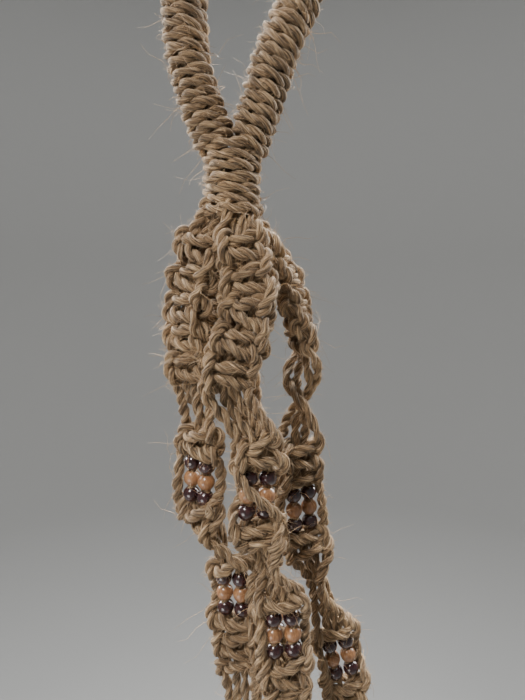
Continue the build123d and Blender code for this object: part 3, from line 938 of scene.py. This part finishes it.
def make_net_knot(arm):
    """A net knot and its four low cords, which run under the pot to the gathering wrap."""
    body = "net_" + arm["name"]
    azimuth = arm["az"] + 45
    origin = neck + polar(NET_R, azimuth, NET_Z) + drift
    origin[2] = NET_Z - R - KNOT_DROP
    across, out = -polar(1, azimuth + 90), polar(1, azimuth)
    lines, side = net_knot_lines()
    slots_low = [polar(INNER_R, azimuth)]
    slots_low += [polar(OUTER_R, azimuth + turn) for turn in (-30, 0, 30)]
    # each knot end goes to its own place over the gathering wrap
    low_order = [2, 0] + ([1, 3] if side > 0 else [3, 1])
    rope, fuzz = Builder(), Builder()
    for q, slot in zip(lines, low_order):
        w = origin + q[:, :1] * across + q[:, 1:2] * out + q[:, 2:] * np.array([0, 0, -1.0])
        target = neck + drift + slots_low[slot] + np.array([0, 0, LOW_Z - 3.0])
        t = np.linspace(0, 1, 12)[1:, None]
        sway = rng.normal(0, 0.5, 3) * np.array([1, 1, 0])
        run = w[-1] + (target - w[-1]) * t + np.sin(t * math.pi) * sway
        line = curved(np.vstack([w[::2], run]), 0.8)
        add_rope(rope, line, CORD_D)
        add_fuzz(fuzz, line, 1.0 * FUZZ)
    finish_rope(rope, body + "_cords", body, ["net_knot_" + arm["name"], "low_cords_" + arm["name"]])
    finish_fuzz(fuzz, body + "_fibres", body)


for arm in ARMS:
    make_slants(arm)
    make_net_knot(arm)

centre = neck + drift
GATHER_LOW = GATHER_TOP - GATHER_L


def make_gather(fuzz):
    """The bottom gathering wrap and the cords inside it."""
    middle = upright(centre[0], np.linspace(GATHER_TOP - 0.9, GATHER_LOW + 2.0, 60))
    hem = upright(centre[0], GATHER_LOW + np.linspace(1.6, 0.4, 20))
    turns = wrap_round(middle, BUNDLE_COIL_R, 3.45, start=1.0, lean=0.4)
    last = wrap_round(hem, 8.6, LAST_TURN_PITCH, start=1.2)
    make_wrap("gather_wrapping_cord", "gather", ["gather_wrap"], turns, last, fuzz, 2.5)
    core = Builder()
    for count, begin, turn, outside, inside in ((4, 65, 36, INNER_R, 2.2), (12, 5, 6, TASSEL_OUT, 5.0)):
        for i in range(count):
            squeezed = []
            for t in np.linspace(0, 1, 26):
                # drawn in under the wrapping, flaring to meet the cords above and the ends below
                r = inside + (outside - inside) * abs(2 * t - 1) ** 5
                z = GATHER_TOP + 3.4 - t * (GATHER_L + 4.6)
                squeezed.append(centre + polar(r, begin + turn * t + 360 / count * i, z))
            add_rope(core, squeezed, 3.1, step=1.0, sides=8)
    finish_rope(core, "gather_core_cords", "gather", ["gather_core"])


def tassel_routes():
    """The routes of the loose ends, as their CAD solids have them."""
    routes = []
    top = GATHER_LOW - 0.1
    for count, r, spread in ((4, INNER_R, 1.5), (12, TASSEL_OUT, 6.5)):
        for i in range(count):
            points = []
            for k in range(5):
                t = k / 4
                swing = 9.0 * t * math.sin(2.2 * t * math.pi + i)
                azimuth = 360.0 / count * i + 11.0 + swing
                points.append(centre + polar(r + spread * t ** 1.5, azimuth, top - TASSEL_L * t))
            routes.append(np.array(points))
    return routes


def curve_line(points, name):
    """Points read from a NURBS curve of order 3 through the route."""
    data = bpy.data.curves.new(name, "CURVE")
    data.dimensions = "3D"
    spline = data.splines.new("NURBS")
    spline.points.add(len(points) - 1)
    for p, q in zip(spline.points, points):
        p.co = (*(q * MM), 1)
    spline.order_u = 3
    spline.use_endpoint_u = True
    spline.resolution_u = 12
    obj = bpy.data.objects.new(name, data)
    bpy.context.scene.collection.objects.link(obj)
    mesh = bpy.data.meshes.new_from_object(obj)
    line = np.array([v.co[:] for v in mesh.vertices]) / MM
    bpy.data.objects.remove(obj)
    bpy.data.meshes.remove(mesh)
    return line


def make_tassel(fuzz):
    """The sixteen loose ends, each a free cord with a frayed tip."""
    for i, route in enumerate(tassel_routes()):
        line = curve_line(route, "route")
        rope = Builder()
        add_rope(rope, line, CORD_D, fray=(0.0, 6.0))
        strand = finish_rope(rope, "tassel_strand_%02d" % (i + 1), "gather", ["tassel"] if i == 0 else ())
        add_fuzz(fuzz, line, 1.0 * FUZZ)
        tip = line[-1]
        down = unit(line[-1] - line[-4])
        brush = np.array([tip - down * 2.5, tip - down * 1.2, tip])
        add_fuzz(fuzz, brush, 40 * FUZZ, short=(2, 6), reach=2.2, long_share=0.0)


gather_fuzz = Builder()
make_gather(gather_fuzz)
make_tassel(gather_fuzz)
finish_fuzz(gather_fuzz, "gather_fibres", "gather")


# ---------------------------------------------------------------- set and camera

def area_light(name, place, target, size, power, colour=(1, 1, 1)):
    data = bpy.data.lights.new(name, "AREA")
    data.shape = "RECTANGLE"
    data.size = size[0]
    data.size_y = size[1]
    data.energy = power
    data.color = colour
    obj = bpy.data.objects.new(name, data)
    bpy.context.scene.collection.objects.link(obj)
    obj.location = place
    obj.rotation_euler = (Vector(target) - Vector(place)).to_track_quat("-Z", "Y").to_euler()


def make_world():
    world = bpy.data.worlds.new("studio")
    bpy.context.scene.world = world
    world.use_nodes = True
    background = world.node_tree.nodes["Background"]
    background.inputs[0].default_value = (0.62, 0.65, 0.68, 1)
    background.inputs[1].default_value = 0.09


FLOOR_Z = (GATHER_LOW - TASSEL_L) * MM - 0.45
FLOOR_R = 2.2
SWEEP_R = 1.2
SWEEP_TOP = 6.0
FLOOR_SIDES = 96


def floor_profile():
    """The floor's section as (radius, height): flat, a quarter arc, then straight up."""
    profile = [(0.05, FLOOR_Z), (FLOOR_R, FLOOR_Z)]
    for turn in np.linspace(0, math.pi / 2, 33)[1:]:
        profile.append((FLOOR_R + SWEEP_R * math.sin(turn), FLOOR_Z + SWEEP_R * (1 - math.cos(turn))))
    return profile + [(FLOOR_R + SWEEP_R, SWEEP_TOP)]


def make_floor():
    """A pale round floor that sweeps up all round in one curve."""
    profile = floor_profile()
    points = [(0, 0, FLOOR_Z)]
    for radius, z in profile:
        for k in range(FLOOR_SIDES):
            a = 2 * math.pi * k / FLOOR_SIDES
            points.append((radius * math.cos(a), radius * math.sin(a), z))
    faces = []
    for k in range(FLOOR_SIDES):
        n = (k + 1) % FLOOR_SIDES
        faces.append((0, 1 + k, 1 + n))
        for ring in range(len(profile) - 1):
            low = 1 + ring * FLOOR_SIDES
            faces.append((low + k, low + FLOOR_SIDES + k, low + FLOOR_SIDES + n, low + n))
    mesh = bpy.data.meshes.new("floor")
    mesh.from_pydata(points, [], faces)
    for face in mesh.polygons:
        face.use_smooth = True
    floor = bpy.data.objects.new("floor", mesh)
    bpy.context.scene.collection.objects.link(floor)
    pale = bpy.data.materials.new("pale_floor")
    _, shader = add_nodes(pale)
    shader.inputs["Base Color"].default_value = (0.50, 0.50, 0.49, 1)
    shader.inputs["Roughness"].default_value = 0.9
    mesh.materials.append(pale)


BEADS_HEIGHT = (0, 0, -0.16)        # what most lights aim at
NET_HEIGHT = (0, 0, -0.45)
COOL = (0.93, 0.97, 1.0)
NEUTRAL = (1.0, 1.0, 1.0)
SOFT = (1.0, 0.98, 0.95)
WARM = (1.0, 0.96, 0.92)
WARM_FILL = (1.0, 0.97, 0.94)


def make_lights():
    area_light("window", (0.02, 0.34, 0.34), BEADS_HEIGHT, (0.4, 0.2), 12.0, COOL)
    area_light("back_left", (-0.36, 0.24, 0.06), BEADS_HEIGHT, (0.16, 0.4), 6.0, SOFT)
    area_light("back_right", (0.36, 0.22, 0.06), BEADS_HEIGHT, (0.16, 0.4), 4.5, SOFT)
    area_light("key", (-0.26, -0.38, 0.36), BEADS_HEIGHT, (0.16, 0.16), 4.4, WARM)
    area_light("low_fill", (-0.45, -0.55, -0.45), NET_HEIGHT, (0.4, 0.4), 2.5, WARM_FILL)
    area_light("overhead", (0.0, 0.3, 2.5), (0.0, 0.3, 0.0), (2.6, 2.6), 75.0, NEUTRAL)


CAMERA_PLACE = (0.00603, -0.1815, -0.109)
CAMERA_DOWN = 7             # degrees below level
LENS, SENSOR_H = 18.14, 24.0


def make_camera():
    data = bpy.data.cameras.new("camera")
    data.sensor_fit = "VERTICAL"
    data.sensor_height = SENSOR_H
    data.lens = LENS
    data.clip_start = 0.005
    camera = bpy.data.objects.new("camera", data)
    bpy.context.scene.collection.objects.link(camera)
    camera.location = CAMERA_PLACE
    camera.rotation_euler = (math.radians(90 - CAMERA_DOWN), 0, 0)
    bpy.context.scene.camera = camera


make_world()
make_floor()
make_lights()
make_camera()
